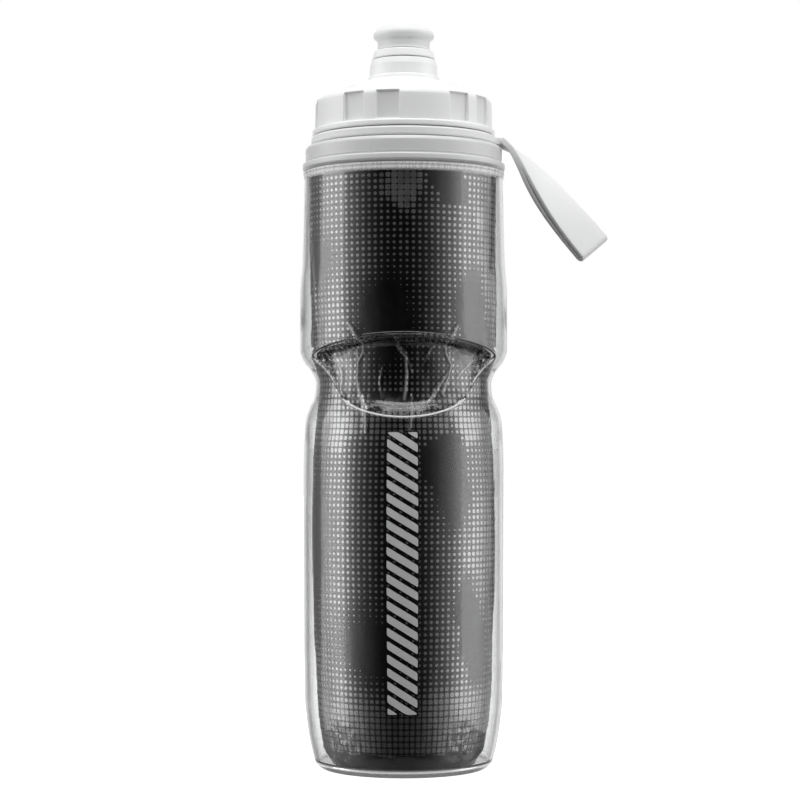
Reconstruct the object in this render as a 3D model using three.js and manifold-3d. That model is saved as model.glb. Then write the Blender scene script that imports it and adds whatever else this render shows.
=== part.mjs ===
// Insulated squeeze bottle for a bicycle: two blow-moulded bottles one inside the other with a
// printed film between them, a screw cap with a push-pull nozzle, and a rubber carry strap.
// Millimetres, +Z up. The origin is the centre of the flat base, and the front faces -Y.
import * as THREE from 'three';
import { mergeVertices } from 'three/addons/utils/BufferGeometryUtils.js';
import Module from 'manifold-3d';

const wasm = await Module();
wasm.setup();

// Driving dimensions.
const SHELL_WALL = 1.0;
const INNER_WALL = 0.8;
const FILM_THICKNESS = 0.35;
const FIT_GAP = 0.35;
const FILM_TO_INNER_GAP = 0.45;

const SHELL_SEGMENTS = 40;
const INNER_SEGMENTS = 32;
const CAP_SEGMENTS = 48;
const NOZZLE_SEGMENTS = 24;

const BASE_RADIUS = 29.8;
const FLOOR_TOP = 1.5;
const FILM_DISC_RADIUS = 24;
const FILM_BOTTOM = 1.9;
const FILM_TOP = 208.5;
const INNER_FLOOR = 2.6;

const SHELL_RIM = 211.4;
const COLLAR_TOP = 220.5;
const NECK_RADIUS = 27.3;
const NECK_BORE = 25.6;
const NECK_RIM = 233.5;

const THREAD_PITCH = 4.5;
const THREAD_CREST = 28.8;
const THREAD_START = 226.6;
const THREAD_TURNS = 1.2;

const CAP_BOTTOM = 224.3;
const CAP_BORE = 29.2;
const CAP_THREAD_CREST = 27.65;
const CAP_THREAD_DROP = 1.8;
const CAP_ROOF = 235.3;
const CAP_SKIRT_RADIUS = 32.6;
const GRIP_RADIUS = 31.6;
const GRIP_BOTTOM = 226.6;
const GRIP_TOP = 236.7;
const GRIP_DEPTH = 0.9;
const GRIP_WIDTH = 8.2;

const DRUM_RADIUS = 12.1;
const DRUM_FLOOR = 244.9;
const DRUM_TOP = 251.6;
const SPOUT_RADIUS = 6.2;
const SPOUT_BORE = 3.7;
const SPOUT_TOP = 257.6;
const SLEEVE_BORE = 7.3;

const RING_BOTTOM = 220.9;
const RING_TOP = 223.9;
const RING_BORE = 27.7;
const RING_RADIUS = 33;

const STRAP_WIDTH = 14.5;
const STRAP_THICKNESS = 1.6;
const STRAP_TWIST = THREE.MathUtils.degToRad(60);
const STRAP_HINGE_X = 35.6;
const SLOT_START = 12;

// Radius and height of each moulded wall, from the foot up. The waist between 123 and 149 is
// the groove that a bottle cage and the hand hold.
const SHELL_OUTLINE = [
  [31.9, 1.8], [33.1, 7.6], [34.4, 16.2], [35.2, 24.7], [35.6, 60], [35.7, 105], [35.1, 121],
  [34.7, 124], [33.5, 127.5], [31.6, 131.8], [31.3, 136], [32.8, 140.3], [35.2, 143.4],
  [36.5, 146], [37, 148.2], [37, 150], [37, 151.3], [37, 152.6], [37, 168], [36.2, 179],
  [35.6, 202], [35.5, 208.5], [35.9, SHELL_RIM],
];
const FILM_OUTLINE = [
  [25.2, FILM_BOTTOM], [28.4, 4.7], [30, 16], [30.5, 27], [31.8, 66], [32.1, 88], [31.2, 116],
  [30.2, 124], [29.3, 130], [29.3, 149], [32.4, 156], [32.65, FILM_TOP],
];

// Radius of the floor of the pressed-in grip panels.
const GRIP_FLOOR = 30.9;

const vec = (pairs) => pairs.map(([r, z]) => new THREE.Vector2(r, z));
const offset = (pairs, by) => pairs.map(([r, z]) => [r - by, z]);
const clamp01 = (t) => Math.min(1, Math.max(0, t));
const smooth = (t) => clamp01(t) ** 2 * (3 - 2 * clamp01(t));

function material(color, roughness, options = {}) {
  return new THREE.MeshStandardMaterial({ color, roughness, metalness: 0, ...options });
}

const CLEAR = material(0xeef2f3, 0.12, { transparent: true, opacity: 0.35 });
const FILM = material(0x17181a, 0.35, { metalness: 0.3 });
const MILKY = material(0xe9ebec, 0.4);
const WHITE = material(0xf0f1f2, 0.38);
const SOFT = material(0xe2e3e5, 0.55);

// Solids.

function revolve(pairs, segments) {
  return new THREE.LatheGeometry(vec(pairs), segments).rotateX(Math.PI / 2);
}

function toSolid(geometry) {
  const bare = geometry.clone();
  bare.deleteAttribute('normal');
  bare.deleteAttribute('uv');
  const merged = mergeVertices(bare, 1e-3);
  return new wasm.Manifold(new wasm.Mesh({
    numProp: 3,
    vertProperties: merged.attributes.position.array,
    triVerts: new Uint32Array(merged.index.array),
  }));
}

function toGeometry(solid) {
  const mesh = solid.getMesh();
  const geometry = new THREE.BufferGeometry();
  geometry.setAttribute('position', new THREE.BufferAttribute(mesh.vertProperties, 3));
  geometry.setIndex(new THREE.BufferAttribute(mesh.triVerts, 1));
  return geometry;
}

function part(name, geometry, look) {
  const mesh = new THREE.Mesh(geometry, look);
  mesh.name = name;
  return mesh;
}

// Grip panels: a shield-shaped hollow pressed into the waist at the front and at the back. Its
// upper lip arches over the waist, its sides run down and inwards, and its lower lip is a smile.
function gripPress(azimuth, z) {
  const fromFront = THREE.MathUtils.radToDeg(Math.abs(azimuth));
  const angle = Math.min(fromFront, 180 - fromFront);
  const upperLip = 152.4 - 6.4 * (angle / 63) ** 2;
  const lowerLip = 123.9 + 7.4 * (angle / 44) ** 2;
  const side = 44 + (19 * (z - 131.3)) / 14.7;
  const millimetresPerDegree = 0.58;
  return smooth((upperLip - z) / 3)
    * clamp01((z - lowerLip) / 6.5)
    * smooth(((side - angle) * millimetresPerDegree) / 3);
}

function pressGrips(geometry, floorRadius) {
  const position = geometry.attributes.position;
  for (let i = 0; i < position.count; i++) {
    const x = position.getX(i);
    const y = position.getY(i);
    const radius = Math.hypot(x, y);
    if (radius <= floorRadius) continue;
    const press = gripPress(Math.atan2(x, -y), position.getZ(i));
    const scale = 1 - (press * (radius - floorRadius)) / radius;
    position.setXY(i, x * scale, y * scale);
  }
  return geometry;
}

// A thread ridge: a straight bar of trapezium section wound up a right-hand helix, fading out
// at both ends. The root is sunk into the wall that carries it.
function threadRidge(sunkRadius, crestRadius, startTurn, turns, startZ) {
  const rootHalf = 1.2;
  const crestHalf = 0.5;
  const stepsPerTurn = 36;
  const fade = 0.08;
  const inwards = crestRadius < sunkRadius;
  const section = new THREE.Shape(vec([
    [0, -rootHalf], [1, -crestHalf], [1, crestHalf], [0, rootHalf],
  ]));
  const bar = new THREE.ExtrudeGeometry(section, {
    depth: 1,
    steps: Math.round(turns * stepsPerTurn),
    bevelEnabled: false,
  });
  const position = bar.attributes.position;
  for (let i = 0; i < position.count; i++) {
    const along = position.getZ(i);
    const height = smooth(Math.min(along, 1 - along) / fade + 0.15);
    const radius = sunkRadius + (crestRadius - sunkRadius) * position.getX(i) * height;
    const turn = startTurn + along * turns;
    const angle = 2 * Math.PI * turn;
    const rise = inwards ? position.getY(i) : -position.getY(i);
    position.setXYZ(
      i,
      radius * Math.cos(angle),
      radius * Math.sin(angle),
      startZ + turn * THREAD_PITCH + rise,
    );
  }
  return toSolid(bar);
}

// Bottle body.

function outerShell() {
  const outer = [
    [0, 0], [12, 0], [13.5, 0.6], [22.5, 0.6], [24, 0], [BASE_RADIUS, 0],
    ...SHELL_OUTLINE,
    [0, SHELL_RIM],
  ];
  const cavityFoot = [30, FLOOR_TOP + 0.6];
  const cavityTop = SHELL_RIM + 1;
  const inner = [
    [0, FLOOR_TOP], [28.6, FLOOR_TOP], cavityFoot,
    ...offset(SHELL_OUTLINE.slice(1), SHELL_WALL),
    [35, cavityTop], [0, cavityTop],
  ];
  const body = toSolid(pressGrips(revolve(outer, SHELL_SEGMENTS), GRIP_FLOOR));
  const space = toSolid(pressGrips(revolve(inner, SHELL_SEGMENTS), GRIP_FLOOR - SHELL_WALL));
  return toGeometry(body.subtract(space));
}

function insulationFilm() {
  const inner = offset(FILM_OUTLINE, FILM_THICKNESS);
  return revolve([...FILM_OUTLINE, ...inner.reverse(), FILM_OUTLINE[0]], INNER_SEGMENTS);
}

function filmDisc() {
  const bottom = FLOOR_TOP + FIT_GAP;
  const top = bottom + FILM_THICKNESS;
  return revolve([
    [0, bottom], [FILM_DISC_RADIUS, bottom], [FILM_DISC_RADIUS, top], [0, top],
  ], INNER_SEGMENTS);
}

function innerBottle() {
  const wall = offset(FILM_OUTLINE.slice(2, -1), FILM_THICKNESS + FILM_TO_INNER_GAP);
  const body = revolve([
    [0, INNER_FLOOR], [24.2, INNER_FLOOR], [27.2, 5], ...wall,
    [31.8, 209], [31.8, 211.5], [NECK_RADIUS, 215.8], [NECK_RADIUS, NECK_RIM],
    [NECK_BORE, NECK_RIM], [NECK_BORE, 216], [31, 211], [31, 209],
    ...offset(wall, INNER_WALL).reverse(), [26.4, 5.4], [23.6, INNER_FLOOR + 0.9],
    [0, INNER_FLOOR + 0.9],
  ], INNER_SEGMENTS);
  const thread = threadRidge(NECK_RADIUS - 0.5, THREAD_CREST, 0, THREAD_TURNS, THREAD_START);
  return toGeometry(toSolid(body).add(thread));
}

function collarRing() {
  return revolve([
    [32.4, 211.9], [35.3, 211.9], [36.1, 212.4], [36.1, 214], [35.2, 214.4], [35, 215],
    [35.1, 219.2], [34.6, 220.1], [33.5, COLLAR_TOP], [RING_BORE, COLLAR_TOP],
    [RING_BORE, 216.5], [32.4, 212.4], [32.4, 211.9],
  ], SHELL_SEGMENTS);
}

// Cap.

function capGasket() {
  const bottom = NECK_RIM + 0.3;
  const top = CAP_ROOF - 0.3;
  return revolve([
    [25.5, bottom], [28.8, bottom], [28.8, top], [25.5, top], [25.5, bottom],
  ], SHELL_SEGMENTS);
}

// Pairs of grip pockets, five round the cap, with a narrow rib inside each pair.
function gripPockets() {
  const pairs = 5;
  const pocketAngles = [-10.3, -34];
  const reach = 4;
  const height = GRIP_TOP - GRIP_BOTTOM;
  const floorRadius = GRIP_RADIUS - GRIP_DEPTH;
  const pockets = [];
  for (let pair = 0; pair < pairs; pair++) {
    for (const start of pocketAngles) {
      const turn = THREE.MathUtils.degToRad(start + (pair * 360) / pairs - 90);
      const pocket = new THREE.BoxGeometry(reach, GRIP_WIDTH, height);
      pocket.translate(floorRadius + reach / 2, 0, GRIP_BOTTOM + height / 2);
      pocket.rotateZ(turn);
      pockets.push(toSolid(pocket));
    }
  }
  return pockets.reduce((all, pocket) => all.add(pocket));
}

function screwCap() {
  const profile = [
    // skirt and grip band
    [CAP_BORE, CAP_BOTTOM], [CAP_SKIRT_RADIUS - 0.3, CAP_BOTTOM], [CAP_SKIRT_RADIUS, 224.7],
    [CAP_SKIRT_RADIUS, 226], [GRIP_RADIUS + 0.1, GRIP_BOTTOM], [GRIP_RADIUS - 0.1, 236],
    [31, 237],
    // dome, with a low step half way
    [29, 237.6], [20.6, 240.9], [20.1, 241.5], [12.8, 244],
    // drum round the nozzle
    [12.7, 245.3], [DRUM_RADIUS, 245.5], [DRUM_RADIUS, 249.4], [11.4, DRUM_TOP],
    [10, DRUM_TOP], [10, DRUM_FLOOR],
    // spout, with the land and groove of its O-ring
    [SPOUT_RADIUS, DRUM_FLOOR], [SPOUT_RADIUS, 254.2], [6.9, 254.2], [6.9, 254.9],
    [5.4, 254.9], [5.4, 256.9], [6.9, 256.9], [6.9, SPOUT_TOP], [SPOUT_BORE, SPOUT_TOP],
    // underside, with the ring that plugs the neck
    [SPOUT_BORE, 242.9], [12, 241.9], [23.6, 237.6], [23.6, 232.5], [25.1, 232.5],
    [25.1, CAP_ROOF], [CAP_BORE, CAP_ROOF], [CAP_BORE, CAP_BOTTOM],
  ];
  const thread = threadRidge(CAP_BORE + 0.5, CAP_THREAD_CREST, 0.22, 1.25,
    THREAD_START - CAP_THREAD_DROP);
  return toGeometry(toSolid(revolve(profile, CAP_SEGMENTS)).subtract(gripPockets()).add(thread));
}

// The closing pin stands on three fins in the spout, so that the drink flows round it.
function valveStem() {
  const pin = toSolid(revolve([
    [0, 241.6], [1.8, 241.6], [1.8, 256], [2.3, 257.5], [2.3, 262.6], [1.7, 263.2],
    [0, 263.2],
  ], NOZZLE_SEGMENTS));
  const fins = [0, 1, 2].map((i) => {
    const foot = new THREE.Shape(vec([[1, 241.6], [5.2, 241.6], [5.2, 242.3], [3.4, 242.5],
      [3.4, 252], [1, 254]]));
    const fin = new THREE.ExtrudeGeometry(foot, { depth: 1.1, bevelEnabled: false });
    fin.translate(0, 0, -0.55).rotateX(Math.PI / 2).rotateZ((i * 2 * Math.PI) / 3);
    return toSolid(fin);
  });
  return toGeometry(fins.reduce((stem, fin) => stem.add(fin), pin));
}

function spoutRing() {
  const ringRadius = 6.35;
  const cordRadius = 0.65;
  const ring = new THREE.TorusGeometry(ringRadius, cordRadius, 8, NOZZLE_SEGMENTS);
  return ring.translate(0, 0, 255.9);
}

function nozzleSleeve() {
  return revolve([
    [6.5, 245.9], [9.6, 245.9], [9.6, 251.9], [11, 251.9], [11.2, 252.2], [10.6, 254.6],
    [10.2, 254.9], [8.2, 254.9], [8.2, 258.6], [SLEEVE_BORE, 258.6], [SLEEVE_BORE, 246.9],
    [6.5, 246.9], [6.5, 245.9],
  ], NOZZLE_SEGMENTS);
}

function mouthpiece() {
  return revolve([
    [8.55, 255.2], [9.6, 255.2], [9.3, 256], [9.3, 258], [9.7, 258.9], [10.6, 259.5],
    [10.85, 260.3], [10.7, 261.2], [9.7, 262.5], [8, 263.5], [6.4, 263.9], [4.2, 263.8],
    [3, 263.3], [2.7, 262.6], [2.7, 261.6], [3.4, 261.2], [7.2, 260.4], [8.55, 258.95],
    [8.55, 255.2],
  ], NOZZLE_SEGMENTS);
}

// Carry strap.

// The neck ring, with a short tab on its right where the loop leaves it.
function strapNeckRing() {
  const mid = (RING_BOTTOM + RING_TOP) / 2;
  const ring = toSolid(revolve([
    [RING_BORE, RING_BOTTOM], [RING_RADIUS - 0.5, RING_BOTTOM], [RING_RADIUS, mid - 0.8],
    [RING_RADIUS, mid + 0.8], [RING_RADIUS - 0.5, RING_TOP], [RING_BORE, RING_TOP],
    [RING_BORE, RING_BOTTOM],
  ], SHELL_SEGMENTS));
  const tabStart = 29;
  const tabLength = STRAP_HINGE_X - 1 - tabStart;
  const tab = new THREE.BoxGeometry(tabLength, STRAP_WIDTH, 2.2);
  tab.translate(tabStart + tabLength / 2, 0, mid - 0.3);
  return toGeometry(ring.add(toSolid(tab)));
}

const STRAP_PATH = new THREE.CatmullRomCurve3([
  [35.6, 221.9], [38.6, 219.8], [42.6, 215.4], [48.8, 207.2], [55.4, 198.8], [61.8, 191.2],
  [68.3, 183.6],
].map(([x, z]) => new THREE.Vector3(x, 0, z)));

// Half the distance between the middles of the two layers, at a length along the strap.
function layerSpread(along) {
  return 0.3 + 1.75 * smooth(along / 26);
}

// The loop is a band folded at its far end: a hairpin outline, drawn flat as length against
// thickness, extruded by the width, then laid along the path while it twists to the front.
function strapLoop() {
  const length = STRAP_PATH.getLength();
  const stations = 22;
  const half = STRAP_THICKNESS / 2;
  const stretch = (from, to, count) => Array.from({ length: count + 1 },
    (_, i) => from + ((to - from) * i) / count);
  const foldCentre = length - layerSpread(length) - half;
  const upper = stretch(0, foldCentre, stations).map((s) => [s, layerSpread(s) + half]);
  const slot = stretch(SLOT_START, foldCentre, stations - 5)
    .map((s) => [s, layerSpread(s) - half]);
  const fold = (radius) => stretch(60, -60, 4).map((degrees) => {
    const angle = THREE.MathUtils.degToRad(degrees);
    return [foldCentre + radius * Math.cos(angle), radius * Math.sin(angle)];
  });
  const mirrored = (pairs) => pairs.map(([s, t]) => [s, -t]).reverse();
  const outline = new THREE.Shape(vec([
    ...upper, ...fold(layerSpread(length) + half), ...mirrored(upper),
  ]));
  outline.holes.push(new THREE.Path(vec([
    ...slot, ...fold(layerSpread(length) - half), ...mirrored(slot),
  ].reverse())));
  const band = new THREE.ExtrudeGeometry(outline, {
    depth: STRAP_WIDTH,
    bevelEnabled: false,
  });
  const position = band.attributes.position;
  const back = new THREE.Vector3(0, 1, 0);
  for (let i = 0; i < position.count; i++) {
    const along = position.getX(i) / length;
    const centre = STRAP_PATH.getPointAt(clamp01(along));
    const forward = STRAP_PATH.getTangentAt(clamp01(along));
    const up = new THREE.Vector3().crossVectors(forward, back);
    const twist = STRAP_TWIST * Math.sin((Math.PI / 2) * clamp01(along));
    const across = back.clone().multiplyScalar(Math.cos(twist))
      .addScaledVector(up, Math.sin(twist));
    const outward = up.clone().multiplyScalar(Math.cos(twist))
      .addScaledVector(back, -Math.sin(twist));
    centre.addScaledVector(outward, position.getY(i));
    centre.addScaledVector(across, STRAP_WIDTH / 2 - position.getZ(i));
    position.setXYZ(i, centre.x, centre.y, centre.z);
  }
  return band;
}

const bottle = new THREE.Group();
bottle.add(
  part('outer_shell', outerShell(), CLEAR),
  part('insulation_film', insulationFilm(), FILM),
  part('base_film_disc', filmDisc(), FILM),
  part('inner_bottle', innerBottle(), MILKY),
  part('collar_ring', collarRing(), WHITE),
);

const cap = new THREE.Group();
cap.add(
  part('cap_gasket', capGasket(), SOFT),
  part('screw_cap', screwCap(), WHITE),
  part('valve_stem', valveStem(), WHITE),
  part('spout_o_ring', spoutRing(), SOFT),
);

const nozzle = new THREE.Group();
nozzle.add(
  part('nozzle_sleeve', nozzleSleeve(), WHITE),
  part('mouthpiece', mouthpiece(), SOFT),
);

const strap = new THREE.Group();
strap.add(
  part('strap_neck_ring', strapNeckRing(), SOFT),
  part('strap_loop', strapLoop(), SOFT),
);

const object = new THREE.Group();
object.add(bottle, cap, nozzle, strap);

export default object;
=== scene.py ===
"""Looks of the insulated cycling bottle: fine meshes, procedural materials, studio and camera.

Unless MM turns them into Blender's metres, lengths are millimetres up to the studio. Azimuths
are degrees from the front (-Y), positive towards +X.
"""

import math

import bpy
import numpy as np
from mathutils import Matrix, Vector


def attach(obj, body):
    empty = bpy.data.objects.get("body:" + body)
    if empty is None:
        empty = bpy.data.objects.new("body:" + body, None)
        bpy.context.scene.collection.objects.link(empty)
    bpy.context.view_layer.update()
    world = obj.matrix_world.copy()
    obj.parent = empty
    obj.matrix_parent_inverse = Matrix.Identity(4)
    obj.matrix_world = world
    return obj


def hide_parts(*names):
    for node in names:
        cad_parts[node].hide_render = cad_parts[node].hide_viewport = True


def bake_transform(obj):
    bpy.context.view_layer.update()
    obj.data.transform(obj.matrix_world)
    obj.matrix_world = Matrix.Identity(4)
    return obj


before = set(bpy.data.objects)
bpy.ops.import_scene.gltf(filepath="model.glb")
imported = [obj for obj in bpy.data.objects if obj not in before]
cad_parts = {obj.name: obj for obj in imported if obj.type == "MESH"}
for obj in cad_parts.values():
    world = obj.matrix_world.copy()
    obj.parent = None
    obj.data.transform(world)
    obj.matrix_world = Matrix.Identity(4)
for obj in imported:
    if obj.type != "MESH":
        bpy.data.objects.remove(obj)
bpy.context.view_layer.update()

MM = 0.001
ON_AXIS = 1e-6
SHARP_ANGLE = 38

# ---- driving dimensions: millimetres and degrees, with stations as (radius, height)

SHELL_WALL = 1.6
SHELL_COLUMNS = 320
SHELL_RIM = 211.4
SHELL_FLOOR_TOP = 1.5
SHELL_STATIONS = [
    (31.6, 2.2), (33.0, 7.6), (34.4, 16.2), (35.2, 24.7), (35.6, 60), (35.7, 105), (35.1, 121),
    (34.7, 124), (33.5, 127.5), (31.6, 131.8), (31.3, 136), (32.8, 140.3), (35.2, 143.4),
    (36.5, 146), (37, 148.2), (37, 168), (36.2, 179), (35.6, 202), (35.5, 208.5),
    (35.9, SHELL_RIM),
]
WAIST_LOW = 112
WAIST_HIGH = 165
WAIST_DEGREE = 0.58  # millimetres along the wall for each degree

# The grip panels' lips, at their middles and where they meet the panel's slanted sides.
LIP_BOTTOM = 123.9
LIP_BOTTOM_RISE = 7.4
LIP_TOP = 152.4
LIP_TOP_DROP = 6.4
GRIP_LOW_ANGLE = 44.0
GRIP_HIGH_ANGLE = 63.0
GRIP_FLOOR = 30.9

INNER_WALL = 0.8

FILM_THICKNESS = 0.3
FILM_BOTTOM = 1.9
FILM_TOP = 208.5
FILM_GRIP_FLOOR = 28.9
FILM_STATIONS = [
    (25.2, FILM_BOTTOM), (27, 2.7), (28.4, 4.7), (28.6, 7), (30, 16), (30.9, 27), (32.3, 66),
    (32.6, 88), (31.8, 112), (30.8, 122), (30.5, 127.5), (30.1, 131.8), (29.8, 136),
    (31, 140.3), (32.1, 144.6), (32.9, 149), (33.1, 160), (33.3, FILM_TOP),
]

INNER_STATIONS = [
    (26.0, 5.2), (28.1, 16), (29.1, 27), (30.4, 66), (30.7, 88), (29.6, 114), (28.2, 123),
    (27.3, 130), (27.3, 149), (30.6, 157), (31.2, 205),
]

DOT_COLUMNS = 96
CELL_ANGLE = 360.0 / DOT_COLUMNS
DOT_PITCH = 2.1

MOTIF_PITCH = 4.6
MOTIF_BAR = 2.9
MOTIF_HALF_WIDTH = 5.3
MOTIF_HALF_HEIGHT = 48.3
MOTIF_MIDDLE = 70.3
MOTIF_RADIUS = 31.9
MOTIF_SHIFT = 0.5
MOTIF_SLANT = 0.62
MOTIF_ROUNDING = 0.9

THREAD_PITCH = 4.5
THREAD_START = 226.6
THREAD_HALF_CREST = 0.5
THREAD_HALF_ROOT = 1.2

CAP_POCKETS = [start + turn * 72 for turn in range(5) for start in (-10.3, -34.0)]
POCKET_HALF_WIDTH = 4.1
POCKET_FLOOR = 30.2
POCKET_LOW = 226.6
POCKET_HIGH = 236.7
CAP_SIDE = 31.6
CAP_BORE = 29.2
PIN_RADIUS = 1.8
FIN_HALF_THICKNESS = 0.55

STRAP_RING_RADIUS = 33
STRAP_TAB_REACH = 34.6
STRAP_WIDTH = 14.5
STRAP_THICKNESS = 1.6
STRAP_EDGE = 0.45
STRAP_TWIST = math.radians(60)
STRAP_SLOT_START = 12.0
STRAP_PATH = [
    (35.6, 221.9), (38.6, 219.8), (42.6, 215.4), (48.8, 207.2), (55.4, 198.8), (61.8, 191.2),
    (68.3, 183.6),
]

# ---- small maths helpers


def smooth(t):
    t = np.clip(t, 0.0, 1.0)
    return t * t * (3 - 2 * t)


def span_of(z, low, rise, high, fall):
    """1 between low and high, eased in over rise above low and out over fall below high."""
    return smooth((z - low) / rise) * smooth((high - z) / fall)


def bump_line(distance, width):
    return np.exp(-((distance / width) ** 2))


def wrapped(angle, period):
    """angle brought into -period/2 to period/2."""
    return (angle + period / 2) % period - period / 2


def monotone(stations):
    """A smooth radius for any height through (radius, height) stations, with no overshoot."""
    radii = np.array([s[0] for s in stations], float)
    heights = np.array([s[1] for s in stations], float)
    steps = np.diff(heights)
    slopes = np.diff(radii) / steps
    inner = np.zeros(len(radii))
    same = slopes[:-1] * slopes[1:] > 0
    harmonic = 2 * slopes[:-1] * slopes[1:] / np.where(same, slopes[:-1] + slopes[1:], 1)
    inner[1:-1] = np.where(same, harmonic, 0)
    inner[0], inner[-1] = slopes[0], slopes[-1]

    def radius(z):
        z = np.clip(z, heights[0], heights[-1])
        k = np.clip(np.searchsorted(heights, z, side="right") - 1, 0, len(steps) - 1)
        t = (z - heights[k]) / steps[k]
        return (
            radii[k] * (1 + 2 * t) * (1 - t) ** 2
            + inner[k] * steps[k] * t * (1 - t) ** 2
            + radii[k + 1] * t * t * (3 - 2 * t)
            + inner[k + 1] * steps[k] * t * t * (t - 1)
        )

    return radius


def lattice_noise(azimuth, z, cells_round, cell_height, seed):
    """Smooth noise from -1 to 1 on the unrolled wall, which closes on itself round the axis."""
    rows = int(math.ceil(300 / cell_height)) + 3
    table = np.random.default_rng(seed).uniform(-1, 1, (rows, cells_round))
    u = (azimuth / 360.0 % 1.0) * cells_round
    v = np.clip(z / cell_height + 1, 0, rows - 2)
    column, row = np.floor(u).astype(int), np.floor(v).astype(int)
    a, b = smooth(u - column), smooth(v - row)
    left, right = column % cells_round, (column + 1) % cells_round
    low = table[row, left] * (1 - a) + table[row, right] * a
    high = table[row + 1, left] * (1 - a) + table[row + 1, right] * a
    return low * (1 - b) + high * b


def heights_between(low, high, step):
    return list(np.linspace(low, high, max(2, int(round((high - low) / step)) + 1)))


def stacked(*spans):
    """Heights from spans of (low, high, step) that follow on from each other."""
    out = []
    for low, high, step in spans:
        out += heights_between(low, high, step)[(1 if out else 0):]
    return np.array(out)


# ---- mesh builders


def rounded(outline, steps=5):
    """A closed outline of (r, z) or (r, z, fillet) corners with each fillet drawn as an arc."""
    out = []
    count = len(outline)
    for i, corner in enumerate(outline):
        here = np.array(corner[:2], float)
        if len(corner) < 3:
            out.append(here)
            continue
        before = np.array(outline[i - 1][:2], float) - here
        after = np.array(outline[(i + 1) % count][:2], float) - here
        reach = min(np.linalg.norm(before), np.linalg.norm(after)) * 0.48
        before /= np.linalg.norm(before)
        after /= np.linalg.norm(after)
        half = math.acos(float(np.clip(before @ after, -1, 1))) / 2
        cut = min(corner[2] / max(math.tan(half), 1e-6), reach)
        start, end = here + before * cut, here + after * cut
        for t in np.linspace(0, 1, steps):
            out.append((1 - t) ** 2 * start + 2 * t * (1 - t) * here + t * t * end)
    return np.array(out)


def linked(name, data):
    obj = bpy.data.objects.new(name, data)
    bpy.context.scene.collection.objects.link(obj)
    return obj


def new_object(name, vertices, faces, sharp_angle=SHARP_ANGLE):
    mesh = bpy.data.meshes.new(name)
    mesh.from_pydata(vertices, [], faces)
    mesh.validate()
    mesh.polygons.foreach_set("use_smooth", [True] * len(mesh.polygons))
    mesh.set_sharp_from_angle(angle=math.radians(sharp_angle))
    return linked(name, mesh)


def revolve(name, outline, azimuths, shape=None, sharp_angle=SHARP_ANGLE, print_uv=False):
    """A closed outline turned round Z. shape(radius, azimuth, z) may move the radius and
    height of the points, in millimetres and degrees. Outline points on the axis are poles."""
    r, z = np.asarray(outline, float).T
    if np.sum(r * np.roll(z, -1) - np.roll(r, -1) * z) < 0:
        r, z = r[::-1], z[::-1]
    if np.isscalar(azimuths):
        azimuths = np.arange(azimuths) * 360.0 / azimuths - 180.0
    columns = len(azimuths)
    grid_az, grid_r = np.meshgrid(azimuths, r)
    grid_z = np.repeat(z[:, None], columns, 1)
    pole = r <= ON_AXIS
    if shape is not None:
        wall = ~pole
        grid_r[wall], grid_z[wall] = shape(grid_r[wall], grid_az[wall], grid_z[wall])
    turn = np.radians(grid_az)
    points = np.stack([grid_r * np.sin(turn), -grid_r * np.cos(turn), grid_z], -1) * MM
    vertices, starts = [], []
    for row in range(len(r)):
        starts.append(len(vertices))
        vertices += points[row, :1 if pole[row] else columns].tolist()
    faces, corners = [], []
    for row in range(len(r)):
        nxt = (row + 1) % len(r)
        if pole[row] and pole[nxt]:
            continue
        for j in range(columns):
            face = [(j, row), (j + 1, row), (j + 1, nxt), (j, nxt)]
            if pole[row] or pole[nxt]:
                del face[1 if pole[row] else 2]
            corners += face
            faces.append([starts[i] + (0 if pole[i] else k % columns) for k, i in face])
    obj = new_object(name, vertices, faces, sharp_angle)
    if print_uv:
        layer = obj.data.uv_layers.new(name="print")
        column, row = np.array(corners).T
        lap = np.append(azimuths, azimuths[0] + 360.0)
        uv = np.stack([lap[column] * DOT_COLUMNS / 360.0,
                       grid_z[row, column % columns] / DOT_PITCH], -1)
        layer.data.foreach_set("uv", uv.astype(np.float32).ravel())
    return obj


def around(items, field="co"):
    """Azimuth in degrees, height and radius in millimetres of each vertex or face."""
    at = np.zeros(len(items) * 3)
    items.foreach_get(field, at)
    at = at.reshape(-1, 3) / MM
    azimuth = np.degrees(np.arctan2(at[:, 0], -at[:, 1]))
    return azimuth, at[:, 2], np.hypot(at[:, 0], at[:, 1])


def store(obj, name, values, domain="POINT"):
    layer = obj.data.attributes.new(name, "FLOAT", domain)
    layer.data.foreach_set("value", np.asarray(values, np.float32))


# ---- material helpers


def new_material(name):
    material = bpy.data.materials.new(name)
    material.use_nodes = True
    material.node_tree.nodes.clear()
    return material, material.node_tree


def is_socket(value):
    return isinstance(value, bpy.types.NodeSocket)


def add(tree, kind, inputs=None, **settings):
    node = tree.nodes.new("ShaderNode" + kind)
    for key, value in settings.items():
        setattr(node, key, value)
    for key, value in (inputs or {}).items():
        if is_socket(value):
            tree.links.new(value, node.inputs[key])
        else:
            node.inputs[key].default_value = value
    return node


def attribute(tree, name):
    return add(tree, "Attribute", attribute_name=name).outputs["Fac"]


# The helpers below add their node to the tree that their values come from.


def calc(operation, *values):
    tree = next(value.id_data for value in values if is_socket(value))
    return add(tree, "Math", dict(enumerate(values)), operation=operation).outputs[0]


def times(a, b):
    return calc("MULTIPLY", a, b)


def one_minus(value):
    return calc("SUBTRACT", 1.0, value)


def off_middle(value):
    """Distance of a growing value from the middle of its present unit step."""
    return calc("ABSOLUTE", calc("SUBTRACT", calc("FRACT", value), 0.5))


def ramp(value, low, high, to_low=0.0, to_high=1.0, kind="SMOOTHSTEP"):
    return add(value.id_data, "MapRange", {
        "Value": value, "From Min": low, "From Max": high, "To Min": to_low, "To Max": to_high,
    }, interpolation_type=kind, clamp=True).outputs["Result"]


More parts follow.
